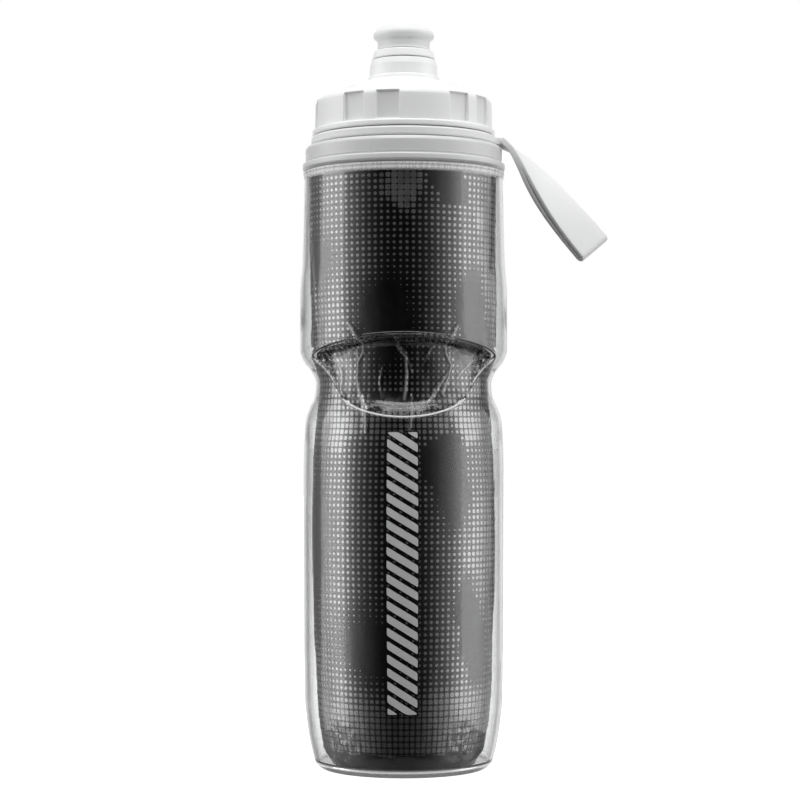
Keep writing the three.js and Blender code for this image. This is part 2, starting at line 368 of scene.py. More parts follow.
def noise(coordinates, size_mm, detail=3.0, stretch=(1, 1, 1), distortion=0.0):
    """Noise from 0 to 1 whose features are about size_mm across, or longer along a stretch."""
    scaled = add(coordinates.id_data, "Mapping", {
        "Vector": coordinates, "Scale": [1 / (s * size_mm * MM) for s in stretch],
    }).outputs[0]
    return add(coordinates.id_data, "TexNoise", {
        "Vector": scaled, "Scale": 1.0, "Detail": detail, "Distortion": distortion,
    }).outputs["Fac"]


def mix_colour(factor, a, b):
    return add(factor.id_data, "Mix", {0: factor, 6: a, 7: b}, data_type="RGBA").outputs[2]


def bump(height, strength, distance_mm, normal=None):
    inputs = {"Height": height, "Strength": strength, "Distance": distance_mm * MM}
    if normal is not None:
        inputs["Normal"] = normal
    return add(height.id_data, "Bump", inputs).outputs[0]


def grey(value, tint=0.0):
    """A neutral grey, a little cool for a positive tint."""
    return (value * (1 - tint), value, value * (1 + tint), 1)


def finish_material(material, tree, shader):
    output = add(tree, "OutputMaterial")
    tree.links.new(shader.outputs[0], output.inputs["Surface"])
    return material


def moulded_plastic(name, colour, roughness, grain_mm, grain_height, waviness, subsurface,
                    sheen=0.0):
    """Opaque or milky moulded plastic: cloudy pigment, uneven gloss, a fine moulded grain and
    a slow waviness from shrinkage."""
    material, tree = new_material(name)
    place = add(tree, "TexCoord").outputs["Object"]
    specks = noise(place, 0.7, detail=2)
    tone = calc("MULTIPLY_ADD", noise(place, 9, detail=4), 0.7, times(specks, 0.3))
    base = mix_colour(tone, grey(colour * 0.955, 0.004), grey(colour * 1.02, 0.004))
    # Painted shade: the colour is darkened towards 0.89 in the cap's grip pockets, the only place
    # that stores this attribute, as if shade fell in them.
    base = mix_colour(attribute(tree, "painted_pocket_shade"), base, grey(colour * 0.89, 0.004))
    gloss = calc("MULTIPLY_ADD", noise(place, 3.5, detail=5), 0.16, roughness - 0.08)
    fine = bump(noise(place, grain_mm, detail=2), 0.6, grain_height)
    shader = add(tree, "BsdfPrincipled", {
        "Base Color": base, "Roughness": gloss, "IOR": 1.49,
        "Normal": bump(noise(place, 7, detail=1), 0.5, waviness, fine),
        "Subsurface Weight": subsurface, "Subsurface Radius": (1.0, 0.98, 0.95),
        "Subsurface Scale": 0.0022, "Sheen Weight": sheen,
    })
    return finish_material(material, tree, shader)


def clear_plastic():
    """Blow-moulded clear wall. Lamps and the light bounced off what is inside pass straight
    through it, so that the inside is lit without waiting for refracted paths."""
    material, tree = new_material("clear_shell")
    place = add(tree, "TexCoord").outputs["Object"]
    flow = noise(place, 5, detail=3, stretch=(1, 1, 5))
    drag = noise(place, 1.1, detail=2, stretch=(1, 1, 14))
    tint = mix_colour(noise(place, 14), grey(0.87, 0.004), grey(0.91, 0.003))
    slanting = add(tree, "LayerWeight", {"Blend": 0.5}).outputs["Facing"]
    tint = mix_colour(ramp(slanting, 0.50, 0.85), tint, grey(0.60, 0.004))
    # Painted shade: a dark band under the upper lip and inside the panel's sides, standing in for
    # the dark surroundings seen through the steep wall.
    tint = mix_colour(attribute(tree, "painted_dark_band"), tint, grey(0.26, 0.004))
    # Whitened places are paler, rougher and less clear: painted highlight on the mould's sharp
    # edges and rim, and real scuffing at the foot.
    glint_and_scuff_frost = times(ramp(attribute(tree, "glint_and_scuff_frost"), 0.15, 0.6, 0.0, 0.95),
                  ramp(drag, 0.2, 0.6, 0.7, 1.0))
    glass = add(tree, "BsdfPrincipled", {
        "Base Color": mix_colour(glint_and_scuff_frost, tint, grey(0.85)), "IOR": 1.47,
        "Roughness": times(glint_and_scuff_frost, 0.35), "Transmission Weight": one_minus(glint_and_scuff_frost),
        "Normal": bump(drag, 0.25, 0.012, bump(flow, 0.35, 0.12)),
    })
    through = add(tree, "BsdfTransparent", {"Color": grey(0.94)})
    path = add(tree, "LightPath")

    def choose(test, usual, when_true):
        return add(tree, "MixShader", {
            0: path.outputs[test], 1: usual.outputs[0], 2: when_true.outputs[0],
        })

    mixed = choose("Is Glossy Ray", glass, choose("Is Singular Ray", through, glass))
    for test in ("Is Diffuse Ray", "Is Shadow Ray"):
        mixed = choose(test, mixed, through)
    return finish_material(material, tree, mixed)


def printed_film(name, with_print=True):
    """Metallised film printed in black, with a halftone of silver-grey dots whose size comes
    from the dot_size attribute, and a plain stack of slanted bars up the front and back."""
    material, tree = new_material(name)
    place = add(tree, "TexCoord").outputs["Object"]
    scuff = noise(place, 2.2, detail=5, stretch=(1, 1, 2.5))
    ink = mix_colour(scuff, grey(0.07), grey(0.105))
    crinkle = noise(place, 2.6, detail=4, stretch=(1, 1, 2.2), distortion=0.6)
    wave = noise(place, 11, detail=2, stretch=(1, 1, 2.5))
    uneven = bump(wave, 0.5, 0.35, bump(crinkle, 0.5, 0.06))
    gloss = ramp(scuff, 0.25, 0.75, 0.17, 0.27, "LINEAR")
    if not with_print:
        shader = add(tree, "BsdfPrincipled", {
            "Base Color": ink, "Roughness": gloss, "Metallic": 1.0, "Normal": uneven,
            "Specular Tint": grey(0.3),
        })
        return finish_material(material, tree, shader)

    cell = add(tree, "SeparateXYZ", {"Vector": add(tree, "UVMap", uv_map="print").outputs[0]})
    du, dv = off_middle(cell.outputs[0]), off_middle(cell.outputs[1])
    size = attribute(tree, "dot_size")

    def reach(power):
        """How far out of the cell's middle: round for 2, squarish with round corners for 4."""
        both = calc("ADD", calc("POWER", du, power), calc("POWER", dv, power))
        return calc("POWER", both, 1 / power)

    square = times(ramp(size, 0.30, 0.42), ramp(size, 0.5, 0.55, 1, 0))
    out = calc("ADD", times(reach(2.0), one_minus(square)), times(reach(4.0), square))
    dot = ramp(calc("SUBTRACT", size, out), -0.05, 0.07)

    # The motif: one tall stack of slanted bars with rounded corners, edged in black.
    across, height = attribute(tree, "bar_across"), attribute(tree, "bar_up")
    slanted = calc("MULTIPLY_ADD", across, MOTIF_SLANT, height)
    in_bar = times(off_middle(calc("DIVIDE", slanted, MOTIF_PITCH)), MOTIF_PITCH)
    depth = calc("SUBTRACT", in_bar, MOTIF_PITCH / 2 - MOTIF_BAR / 2)
    for half, off in ((MOTIF_HALF_WIDTH, across), (MOTIF_HALF_HEIGHT, height)):
        inside = calc("SUBTRACT", half, calc("ABSOLUTE", off))
        depth = calc("SMOOTH_MIN", depth, inside, MOTIF_ROUNDING)
    motif = ramp(depth, -0.06, 0.10)
    dot = times(dot, one_minus(ramp(depth, -0.55, -0.35)))

    base = mix_colour(dot, ink, mix_colour(scuff, grey(0.40), grey(0.48)))
    # Painted shade: the colour darkens towards the foot, to 0.38 of itself at the bottom edge,
    # where the film curves inwards.
    up = add(tree, "SeparateXYZ", {"Vector": place}).outputs[2]
    base = mix_colour(ramp(up, 0.002, 0.038, 0.38, 1.0, "LINEAR"), grey(0.0), base)
    base = mix_colour(motif, base, mix_colour(scuff, grey(0.68), grey(0.75)))
    # Crease ridges turn a pale unmetallic grey: worn print there, and also a painted highlight
    # along the ridges.
    bare_and_glint = times(attribute(tree, "crease_wear_and_glint"), ramp(scuff, 0.30, 0.55, 0.45, 1.0))
    printed = calc("MAXIMUM", times(dot, 0.12), calc("MAXIMUM", motif, bare_and_glint))
    rough = calc("MAXIMUM", calc("MULTIPLY_ADD", dot, 0.06, gloss), times(motif, 0.42))
    shader = add(tree, "BsdfPrincipled", {
        "Base Color": mix_colour(bare_and_glint, base, grey(0.55)), "Roughness": rough,
        "Metallic": one_minus(printed), "Normal": uneven,
        "Specular Tint": grey(0.3), "Specular IOR Level": 0.3,
    })
    return finish_material(material, tree, shader)


clear = clear_plastic()
film_print = printed_film("printed_film")
film_plain = printed_film("plain_film", with_print=False)
natural = moulded_plastic("natural_plastic", 0.73, 0.30, 0.30, 0.005, 0.05, 0.30)
milky = moulded_plastic("milky_plastic", 0.86, 0.34, 0.35, 0.004, 0.05, 0.35)
white = moulded_plastic("white_plastic", 0.93, 0.33, 0.28, 0.006, 0.05, 0.12)
rubber = moulded_plastic("white_rubber", 0.86, 0.50, 0.22, 0.010, 0.04, 0.20, sheen=0.08)
seal = moulded_plastic("seal_rubber", 0.72, 0.42, 0.20, 0.006, 0.02, 0.25)


def dress(obj, material, body, slot, *nodes):
    obj.data.materials.append(material)
    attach(obj, body)
    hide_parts(*nodes)


# ---- clear outer shell

shell_outline = monotone(SHELL_STATIONS)
film_outline = monotone(FILM_STATIONS)


def grip_lips(azimuth):
    """Degrees from the nearer of front and back, and the heights of the panel's two lips."""
    angle = np.abs(wrapped(azimuth, 180.0))
    upper = LIP_TOP - LIP_TOP_DROP * (np.minimum(angle, 66) / GRIP_HIGH_ANGLE) ** 2
    lower = LIP_BOTTOM + LIP_BOTTOM_RISE * (np.minimum(angle, 50) / GRIP_LOW_ANGLE) ** 2
    return angle, upper, lower


def along_lips(azimuth, z):
    """Heights moved so that the level rows at the two lips run along the lips instead."""
    angle, upper, lower = grip_lips(azimuth)
    rise = (lower - LIP_BOTTOM) * smooth((84 - angle) / 34)
    drop = (upper - LIP_TOP) * smooth((90 - angle) / 24)
    start = np.clip((z - WAIST_LOW) / (LIP_BOTTOM - WAIST_LOW), 0, 1)
    middle = np.clip((z - LIP_BOTTOM) / (LIP_TOP - LIP_BOTTOM), 0, 1)
    end = np.clip((WAIST_HIGH - z) / (WAIST_HIGH - LIP_TOP), 0, 1)
    return z + np.where(z < LIP_BOTTOM, rise * start,
                        np.where(z < LIP_TOP, rise + (drop - rise) * middle, drop * end))


def panel_side(z):
    """Angle of the panel's slanted side edge, which runs from the lower lip to the corner."""
    low, high = LIP_BOTTOM + LIP_BOTTOM_RISE, LIP_TOP - LIP_TOP_DROP
    return GRIP_LOW_ANGLE + (GRIP_HIGH_ANGLE - GRIP_LOW_ANGLE) * (z - low) / (high - low)


def inside_side(angle, z):
    """Millimetres inside the panel's side edge, along the wall."""
    return (panel_side(z) - angle) * WAIST_DEGREE


def grip_press(azimuth, z):
    angle, upper, lower = grip_lips(azimuth)
    return span_of(z, lower - 0.3, 6.2, upper, 2.6) * smooth(inside_side(angle, z) / 2.4)


def shell_radius(azimuth, z, inset=0.0):
    radius = shell_outline(z) - inset
    floor = GRIP_FLOOR - inset
    radius -= grip_press(azimuth, z) * np.maximum(0, radius - floor)
    angle, upper, lower = grip_lips(azimuth)
    smile = bump_line(z - lower, 0.62) * smooth((45 - angle) / 5)
    brow = bump_line(z - upper - 0.5, 0.55) * smooth((64 - angle) / 6)
    side = bump_line(inside_side(angle, z) + 0.2, 0.8) * span_of(z, lower, 2, upper, 3)
    return radius + 0.62 * smile - 0.18 * brow + 0.26 * side


def painted_glint_frosting(azimuth, z):
    """How far the mould's sharp edges and the rim are whitened, from 0 to 1: a painted highlight
    that stands in for glints on them.
    """
    angle, upper, lower = grip_lips(azimuth)
    smile = 0.95 * bump_line(z - lower, 0.29) * smooth((42.5 - angle) / 4)
    haze = 0.29 * span_of(z, lower + 0.6, 1.5, lower + 5.2, 2.6) * smooth((20 - angle) / 10)
    brow = 0.38 * bump_line(z - upper - 0.5, 0.26) * smooth((27 - angle) / 6)
    side = 0.9 * bump_line(inside_side(angle, z) + 0.1, 0.46)
    side = side * span_of(z, lower + 1, 3, upper - 1, 2)
    rim = 0.5 * span_of(z, SHELL_RIM - 3, 0.6, SHELL_RIM + 0.1, 0.3)
    return np.clip(smile + haze + brow + side + rim, 0, 1)


def painted_lip_shade(azimuth, z):
    """Painted shade: a dark band under the upper lip and inside the panel's slanted sides."""
    angle, upper, lower = grip_lips(azimuth)
    brow = 0.85 * bump_line(z - upper + 1.2, 1.1) * smooth((64 - angle) / 4)
    side = 0.75 * bump_line(inside_side(angle, z) - 1.1, 0.8)
    return np.clip(np.maximum(brow, side * span_of(z, lower + 1, 3, upper, 2)), 0, 1)


def wall_at(z):
    """Wall thickness: thinner where the mould pinched the waist."""
    return SHELL_WALL - 0.6 * span_of(z, WAIST_LOW, 12, WAIST_HIGH - 1, 10)


def shell_shape(radius, azimuth, z):
    on_side = (z > 1.9) & (z < SHELL_RIM - 0.05) & (radius > 25)
    outside = np.abs(radius - shell_outline(z)) < 0.02
    height = along_lips(azimuth, z)
    inset = np.where(outside, 0.0, wall_at(height))
    seam = bump_line(wrapped(azimuth - 90, 180.0) * 0.62, 0.35) * smooth((z - 6) / 8)
    ribs = 0.16 * (bump_line(z - 209.3, 0.28) + bump_line(z - 210.6, 0.28))
    moved = shell_radius(azimuth, height, inset)
    moved += np.where(outside, 0.07 * seam - 0.07 + ribs, 0.0)
    return np.where(on_side, moved, radius), np.where(on_side, height, z)


def build_shell():
    rows = stacked((2.6, 30, 1.2), (30, 112, 3), (112, 121.8, 0.8), (121.8, 129.5, 0.24),
                   (129.5, 149, 0.65), (149, 154, 0.22), (154, 160, 0.75), (160, 205, 3),
                   (205, 208.4, 0.9), (208.4, SHELL_RIM - 0.3, 0.18))
    inner_rows = stacked((4.6, 30, 1.6), (30, 112, 4), (112, 121.8, 1.2), (121.8, 129.5, 0.45),
                         (129.5, 149, 0.9), (149, 154, 0.4), (154, 160, 1.2),
                         (160, SHELL_RIM - 0.3, 4))
    outline = [(0, 0.35), (3, 0.35), (3.6, 0.0), (12, 0.0, 0.3), (13.5, 0.6, 0.4),
               (22.5, 0.6, 0.4), (24, 0, 0.4), (29.3, 0, 1.8), (31.5, 2.0, 1.2)]
    outline += [(shell_outline(z), z) for z in rows]
    rim = shell_outline(SHELL_RIM)
    outline += [(rim - 0.05, SHELL_RIM), (rim - SHELL_WALL + 0.05, SHELL_RIM)]
    outline += [(shell_outline(z) - SHELL_WALL, z) for z in inner_rows[::-1]]
    outline += [(30.5, SHELL_FLOOR_TOP, 2.2), (25.6, SHELL_FLOOR_TOP), (0, SHELL_FLOOR_TOP)]
    shell = revolve("clear_outer_shell", rounded(outline), SHELL_COLUMNS, shell_shape)
    azimuth, z, radius = around(shell.data.vertices)
    outer = radius > shell_radius(azimuth, z, wall_at(z) * 0.5)
    scuffed_foot = 0.40 * smooth((4.6 - z) / 2.2)  # on both faces of the wall
    # Painted highlight on the outer face's sharp edges and rim, plus real scuffing of the foot.
    store(shell, "glint_and_scuff_frost", np.where(outer, painted_glint_frosting(azimuth, z), 0.0) + scuffed_foot)
    # Painted shade under the upper lip and inside the panel's sides, on the outer face only.
    store(shell, "painted_dark_band", np.where(outer, painted_lip_shade(azimuth, z), 0.0))
    return shell


dress(build_shell(), clear, "bottle", "clear_plastic", "outer_shell")

# ---- printed film

# Creases of the film in the waist: height of the ridge, then (across the front, z) points.
CREASES = [
    (0.50, [(-17.8, 156.7), (-14.2, 150.5), (-14.7, 146.4), (-16.6, 142.9), (-16.8, 136.7),
            (-15.3, 131.1), (-13.2, 126), (-12.6, 119)]),
    (0.45, [(-3.2, 152.2), (-2, 148), (0.7, 144.4), (1.1, 139.2), (0.7, 134.1), (0.1, 129.5)]),
    (0.30, [(-0.4, 147.4), (2.7, 139.2)]),
    (0.40, [(2.7, 131.1), (2.4, 124.3), (1.7, 119.2)]),
    (0.50, [(17, 155.1), (14.5, 150.5), (15, 146), (17, 141.8), (16, 137.7), (13.5, 132)]),
    (0.40, [(16, 139.2), (12.4, 134.6), (9.4, 129)]),
    (0.45, [(-24.5, 143.9), (-22, 139.2), (-22, 134.1), (-20.5, 128)]),
    (0.40, [(27.3, 147), (23.5, 142), (19.5, 138.5)]),
    (0.30, [(-7.5, 141), (-8.6, 136), (-7.4, 130)]),
    (0.30, [(7, 143), (9.5, 147.5)]),
]
CREASE_WIDTH = 0.48
CREASE_RADIUS = 30.6
CREASED_ANGLE = 46
CREASED_HEIGHTS = (115, 160)


def distance_to_line(x, z, points):
    best = np.full(np.shape(x), 1e9)
    for (x0, z0), (x1, z1) in zip(points[:-1], points[1:]):
        dx, dz = x1 - x0, z1 - z0
        t = np.clip(((x - x0) * dx + (z - z0) * dz) / (dx * dx + dz * dz), 0, 1)
        best = np.minimum(best, np.hypot(x - x0 - t * dx, z - z0 - t * dz))
    return best


def long_folds(azimuth, z):
    """Two shallow folds down the left and right of the upper film."""
    line = 72 - 4 * smooth((206 - z) / 30) + 0.6 * np.sin(z / 7)
    off = (np.abs(azimuth) - line - np.where(azimuth > 0, 4, 0)) * WAIST_DEGREE
    return 0.42 * bump_line(off, 0.75) * span_of(z, 152, 8, FILM_TOP - 1, 4)


def crease_height(azimuth, z):
    """Ridges of the front creases, and of the same creases turned to the back."""
    near = wrapped(azimuth, 180.0)
    across = CREASE_RADIUS * np.sin(np.radians(near))
    out = np.zeros(np.shape(z))
    close = (z > CREASED_HEIGHTS[0]) & (z < CREASED_HEIGHTS[1])
    for ridge, points in CREASES:
        distance = distance_to_line(across[close], z[close], points)
        out[close] = np.maximum(out[close], ridge * bump_line(distance, CREASE_WIDTH))
    return np.maximum(out, long_folds(azimuth, z))


def fold_edge(azimuth):
    """Height of the fold round the foot: four flat panels meet in pointed corners."""
    off_corner = np.abs(wrapped(azimuth, 90.0)) / 45.0
    return 7.5 - 4.9 * off_corner ** 1.7


def film_radius(azimuth, z):
    """Outer face of the film: drawn in under the grip panels, wavy, creased in the waist,
    crumpled and folded in at the foot, and always inside the clear wall."""
    radius = film_outline(z)
    angle, upper, lower = grip_lips(azimuth)
    press = span_of(z, lower - 1.5, 11, upper + 0.6, 5)
    press = press * smooth((panel_side(z) + 4 - angle) * 0.55 / 5)
    radius -= press * np.maximum(0, radius - FILM_GRIP_FLOOR)
    in_waist = span_of(z, WAIST_LOW, 10, WAIST_HIGH - 3, 8)
    near_foot = smooth((24 - z) / 14)
    off_centre = 0.5 * smooth((z - 160) / 25)
    radius -= off_centre * np.sin(np.radians(azimuth))
    radius += 0.16 * lattice_noise(azimuth, z, 11, 34, 3)
    radius += 0.05 * lattice_noise(azimuth, z, 46, 26, 5)
    radius += in_waist * 0.22 * lattice_noise(azimuth, z, 60, 9, 8)
    corner = bump_line(np.abs(wrapped(azimuth, 90.0)) - 45, 11)
    crumple = np.abs(lattice_noise(azimuth, z, 64, 3.4, 13)) + np.abs(
        lattice_noise(azimuth + 3 * z, z, 110, 2.2, 14)) * 0.6
    radius += near_foot * (0.06 + 1.3 * corner) * (0.5 - crumple)
    corner = bump_line(np.abs(wrapped(azimuth, 180.0)) - 60, 9) * bump_line(z - 146, 6)
    radius += 0.6 * corner * lattice_noise(azimuth, z, 130, 7, 17)
    radius += crease_height(azimuth, z)
    edge = fold_edge(azimuth)
    edge_radius = film_outline(edge)
    inwards = 25.3 + (z - FILM_BOTTOM) * (edge_radius - 25.3) / (edge - FILM_BOTTOM)
    radius = np.where(z < edge, np.minimum(radius, inwards), radius)
    limit = shell_radius(azimuth, z, wall_at(z)) - 0.22
    foot = 28.1 + 1.4 * smooth((z - FILM_BOTTOM) / 1.2)
    return np.minimum(np.minimum(radius, limit), np.where(z < 3.2, foot, 99.0))


def film_shape(radius, azimuth, z):
    outer = film_radius(azimuth, z)
    lined = np.minimum(film_outline(z) - FILM_THICKNESS, outer - 0.12) - 0.25
    inside = np.abs(radius - film_outline(z)) > 0.02
    return np.where(inside, lined, outer), z


FULL_BELOW = 33.0
DOT_SIZE = 0.27
SMALLEST_DOT = 0.09
MERGED_SIZE = 0.50
SQUARE_SIZE = 0.41
NO_DOT = -0.2
PATCH_POWER = 1.6

# Unprinted patches: azimuth, height, half width in degrees, half height, soft border in mm.
PLAIN_PATCHES = [
    (23, 210, 12, 6, 0.6), (30, 203, 9, 6, 0.6), (45, 160, 10, 11, 4.0),
    (48, 151, 10, 8, 3.0), (-62, 179, 8, 4, 8.0), (-14, 156, 8, 6, 11.0), (-8, 159, 5, 7, 8.0),
    (24, 108, 12, 9, 1.0), (31, 100, 9, 13, 3.0), (-67, 80, 7, 13, 9.0), (42, 58, 7, 7, 2.5),
    (48, 47, 10, 9, 2.5), (52, 39, 6, 5, 2.0), (-27, 47, 9, 4, 13.0), (-17, 44, 8, 5, 9.0),
    (86, 120, 9, 12, 1.5), (-82, 150, 6, 9, 2.0), (-6, 129.5, 15, 2.6, 0.6),
]
# Patches where the dots grow, in the same terms and with the size that they reach.
FULL_PATCHES = [
    (1, 205, 12, 10, 5.0, MERGED_SIZE), (66, 182, 15, 30, 6.0, SQUARE_SIZE),
    (58, 80, 18, 16, 7.0, 0.35), (-60, 121, 24, 9, 5.0, SQUARE_SIZE),
    (40, 120, 24, 6, 5.0, SQUARE_SIZE), (0, 124, 34, 9, 8.0, 0.39),
    (-82, 36, 20, 12, 5.0, SQUARE_SIZE),
]


def patch_depth(azimuth, z, patch):
    """Millimetres outside the edge of an uneven rounded patch, negative within it."""
    centre, height, half_angle, half_height = patch[:4]
    across = wrapped(azimuth - centre, 180.0) / half_angle
    up = (z - height) / half_height
    ragged = 0.34 * lattice_noise(azimuth, z, 44, 8, 21) + 0.16 * lattice_noise(
        azimuth, z, 90, 4, 22)
    reach = (np.abs(across) ** PATCH_POWER + np.abs(up) ** PATCH_POWER) ** (1 / PATCH_POWER)
    return (reach - 1.12 + ragged) * min(half_angle * 0.56, half_height)


def dot_sizes(azimuth, z):
    """Reach of the dot of each printing cell, as a part of the pitch."""
    size = DOT_SIZE + 0.045 * lattice_noise(azimuth, z, 18, 16, 31)
    for patch in FULL_PATCHES:
        grown = smooth(-patch_depth(azimuth, z, patch) / patch[4] + 0.4)
        size = size + grown * (patch[5] - size)
    low = smooth((FULL_BELOW + 4 * lattice_noise(azimuth, z, 14, 12, 33) - z) / 10)
    size = size + low * (SQUARE_SIZE - size)
    for patch in PLAIN_PATCHES:
        size = size * np.clip(patch_depth(azimuth, z, patch) / patch[4], 0, 1) ** 0.6
    return np.where(size < SMALLEST_DOT, NO_DOT, size)


def film_azimuths():
    """Columns on the edges of the printing cells, closer together where the creases are."""
    angles = []
    for i in range(DOT_COLUMNS):
        start = -180.0 + i * CELL_ANGLE
        creased = abs(wrapped(start + CELL_ANGLE / 2, 180.0)) < CREASED_ANGLE
        parts = 6 if creased else 3
        angles += [start + CELL_ANGLE * k / parts for k in range(parts)]
    return np.array(angles)


def build_film():
    def cells(first, last, parts):
        count = (last - first) * parts
        return [(first + k / parts) * DOT_PITCH for k in range(count)]

    rows = [FILM_BOTTOM] + cells(1, 10, 4) + cells(10, 54, 1) + cells(54, 76, 4)
    rows += cells(76, 100, 1) + [FILM_TOP]
    inner_rows = stacked((3.4, 20, 3), (20, 118, 14), (118, 158, 5), (158, FILM_TOP, 14))
    outline = [(film_outline(z), z) for z in rows]
    outline += [(film_outline(z) - FILM_THICKNESS, z) for z in inner_rows[::-1]]
    film = revolve("printed_insulation_film", outline, film_azimuths(), film_shape, 80, True)
    azimuth, z, _ = around(film.data.vertices)
    across = np.radians(wrapped(azimuth, 180.0)) * MOTIF_RADIUS + MOTIF_SHIFT
    store(film, "bar_across", np.clip(across, -30, 30))
    store(film, "bar_up", z - MOTIF_MIDDLE)
    # Crease ridges: worn print, and a painted highlight along them.
    store(film, "crease_wear_and_glint", np.clip(crease_height(azimuth, z) * 3.4 - 0.75, 0, 1))
    azimuth, z, _ = around(film.data.polygons, "center")
    cell_angle = (np.floor(azimuth / CELL_ANGLE) + 0.5) * CELL_ANGLE
    cell_height = (np.floor(z / DOT_PITCH) + 0.5) * DOT_PITCH
    size = dot_sizes(cell_angle, cell_height)
    plain_foot = 7.9 + 1.1 * lattice_noise(azimuth, z, 40, 6, 35)
    size = np.where(z < plain_foot, NO_DOT, size)
    store(film, "dot_size", size, "FACE")
    return film


dress(build_film(), film_print, "bottle", "printed_film", "insulation_film")


def disc_shape(radius, azimuth, z):
    return radius * (1 + 0.006 * lattice_noise(azimuth, radius, 24, 5, 41)), z


disc = revolve("base_film_disc_sheet", rounded(
    [(0, 1.86)] + [(r, 1.86) for r in range(2, 24, 2)] + [(24, 1.86, 0.1), (24, 2.18, 0.1)]
    + [(r, 2.18) for r in range(22, 0, -2)] + [(0, 2.18)]), 144, disc_shape)
dress(disc, film_plain, "bottle", "printed_film", "base_film_disc")

# ---- inner bottle


def thread_height(azimuth, z, start_z, first_turn, turns):
    """From 0 to 1 over a helical ridge that fades out at both ends."""
    base = (azimuth - 90) / 360.0 % 1.0
    out = np.zeros(np.shape(z))
    for lap in range(3):
        turn = base + lap
        along = (turn - first_turn) / turns
        off = np.abs(z - start_z - turn * THREAD_PITCH)
        flank = (THREAD_HALF_ROOT - off) / (THREAD_HALF_ROOT - THREAD_HALF_CREST)
        ends = smooth(np.minimum(along, 1 - along) / 0.08)
        ends = np.where((along > 0) & (along < 1), ends, 0)
        out = np.maximum(out, np.clip(flank, 0, 1) * ends)
    return out


def neck_shape(radius, azimuth, z):
    outside = (radius > 26.5) & (radius < 28.0) & (z > 217) & (z < 233.4)
    ridge = thread_height(azimuth, z, THREAD_START, 0, 1.2)
    return np.where(outside, radius + 1.5 * ridge, radius), z


def build_inner_bottle():
    wall = monotone(INNER_STATIONS)
    rows = stacked((5.2, 16, 2), (16, 116, 10), (116, 158, 2.5), (158, 205, 8))
    outline = [(0, 2.6), (23.2, 2.6, 1.0), (25.4, 4.2, 1.2)]
    outline += [(wall(z), z) for z in rows]
    outline += [(31.75, 207.5), (31.8, 211.5, 1.2), (27.3, 215.8, 1.0)]
    outline += [(27.3, z) for z in heights_between(217.2, 233.0, 0.3)]
    outline += [(27.3, 233.5, 0.3), (25.6, 233.5, 0.3), (25.6, 216, 0.8), (31, 211, 1.0)]
    outline += [(30.9, 207.5)] + [(wall(z) - INNER_WALL, z) for z in rows[::-1]]
    outline += [(22.8, 3.5, 0.8), (0, 3.5)]
    return revolve("milky_inner_bottle", rounded(outline), 160, neck_shape)


dress(build_inner_bottle(), milky, "bottle", "milky_plastic", "inner_bottle")

# ---- collar ring

collar = revolve("collar_ring_moulding", rounded([
    (32.4, 211.9, 0.15), (35.3, 211.9, 0.2), (36.1, 212.4, 0.3), (36.1, 214, 0.25),
    (35.3, 214.35, 0.15), (34.75, 214.5, 0.12), (34.75, 214.8, 0.12), (35, 215.1, 0.15),
    (35.1, 219.2, 0.6), (34.6, 220.1, 0.6), (33.5, 220.5, 0.3), (27.7, 220.5, 0.3),
    (27.7, 216.5, 0.3), (32.4, 212.4, 0.15),
], steps=6), 224)
dress(collar, natural, "bottle", "white_plastic", "collar_ring")

# ---- screw cap


def cap_angles():
    angles = list(np.arange(0, 360, 2.25))
    edge = math.degrees(math.asin(POCKET_HALF_WIDTH / CAP_SIDE))
    for centre in CAP_POCKETS:
        for side in (-1, 1):
            for step in (-0.55, -0.3, -0.1, 0.1, 0.3, 0.55, 0.9):
                angles.append(centre + side * (edge - step))
    angles = np.sort(wrapped(np.array(angles), 360.0))
    return angles[np.concatenate([[True], np.diff(angles) > 0.08])]


def cap_shape(radius, azimuth, z):
    """The cap with its grip pockets pressed in and the ridge of its thread in the bore."""
    out = np.array(radius)
    band = (radius > CAP_BORE + 0.2) & (z > POCKET_LOW - 0.2) & (z < POCKET_HIGH + 0.2)
    up = span_of(z, POCKET_LOW, 0.4, POCKET_HIGH, 0.4)
    for centre in CAP_POCKETS:
        off = np.radians(wrapped(azimuth - centre, 360.0))
        inside = smooth((POCKET_HALF_WIDTH - np.abs(radius * np.sin(off))) / 0.32 + 0.3)
        inside = np.where(np.abs(off) < 0.5, inside, 0)
        floor = POCKET_FLOOR / np.cos(np.clip(off, -0.5, 0.5))
        depth = np.maximum(0, radius - floor) * inside * up
        out = np.where(band, out - depth, out)
    bore = (np.abs(radius - CAP_BORE) < 0.02) & (z < 235.2)
    ridge = thread_height(azimuth, z, THREAD_START - 1.8, 0.22, 1.25)
    return np.where(bore, radius - 1.55 * ridge, out), z


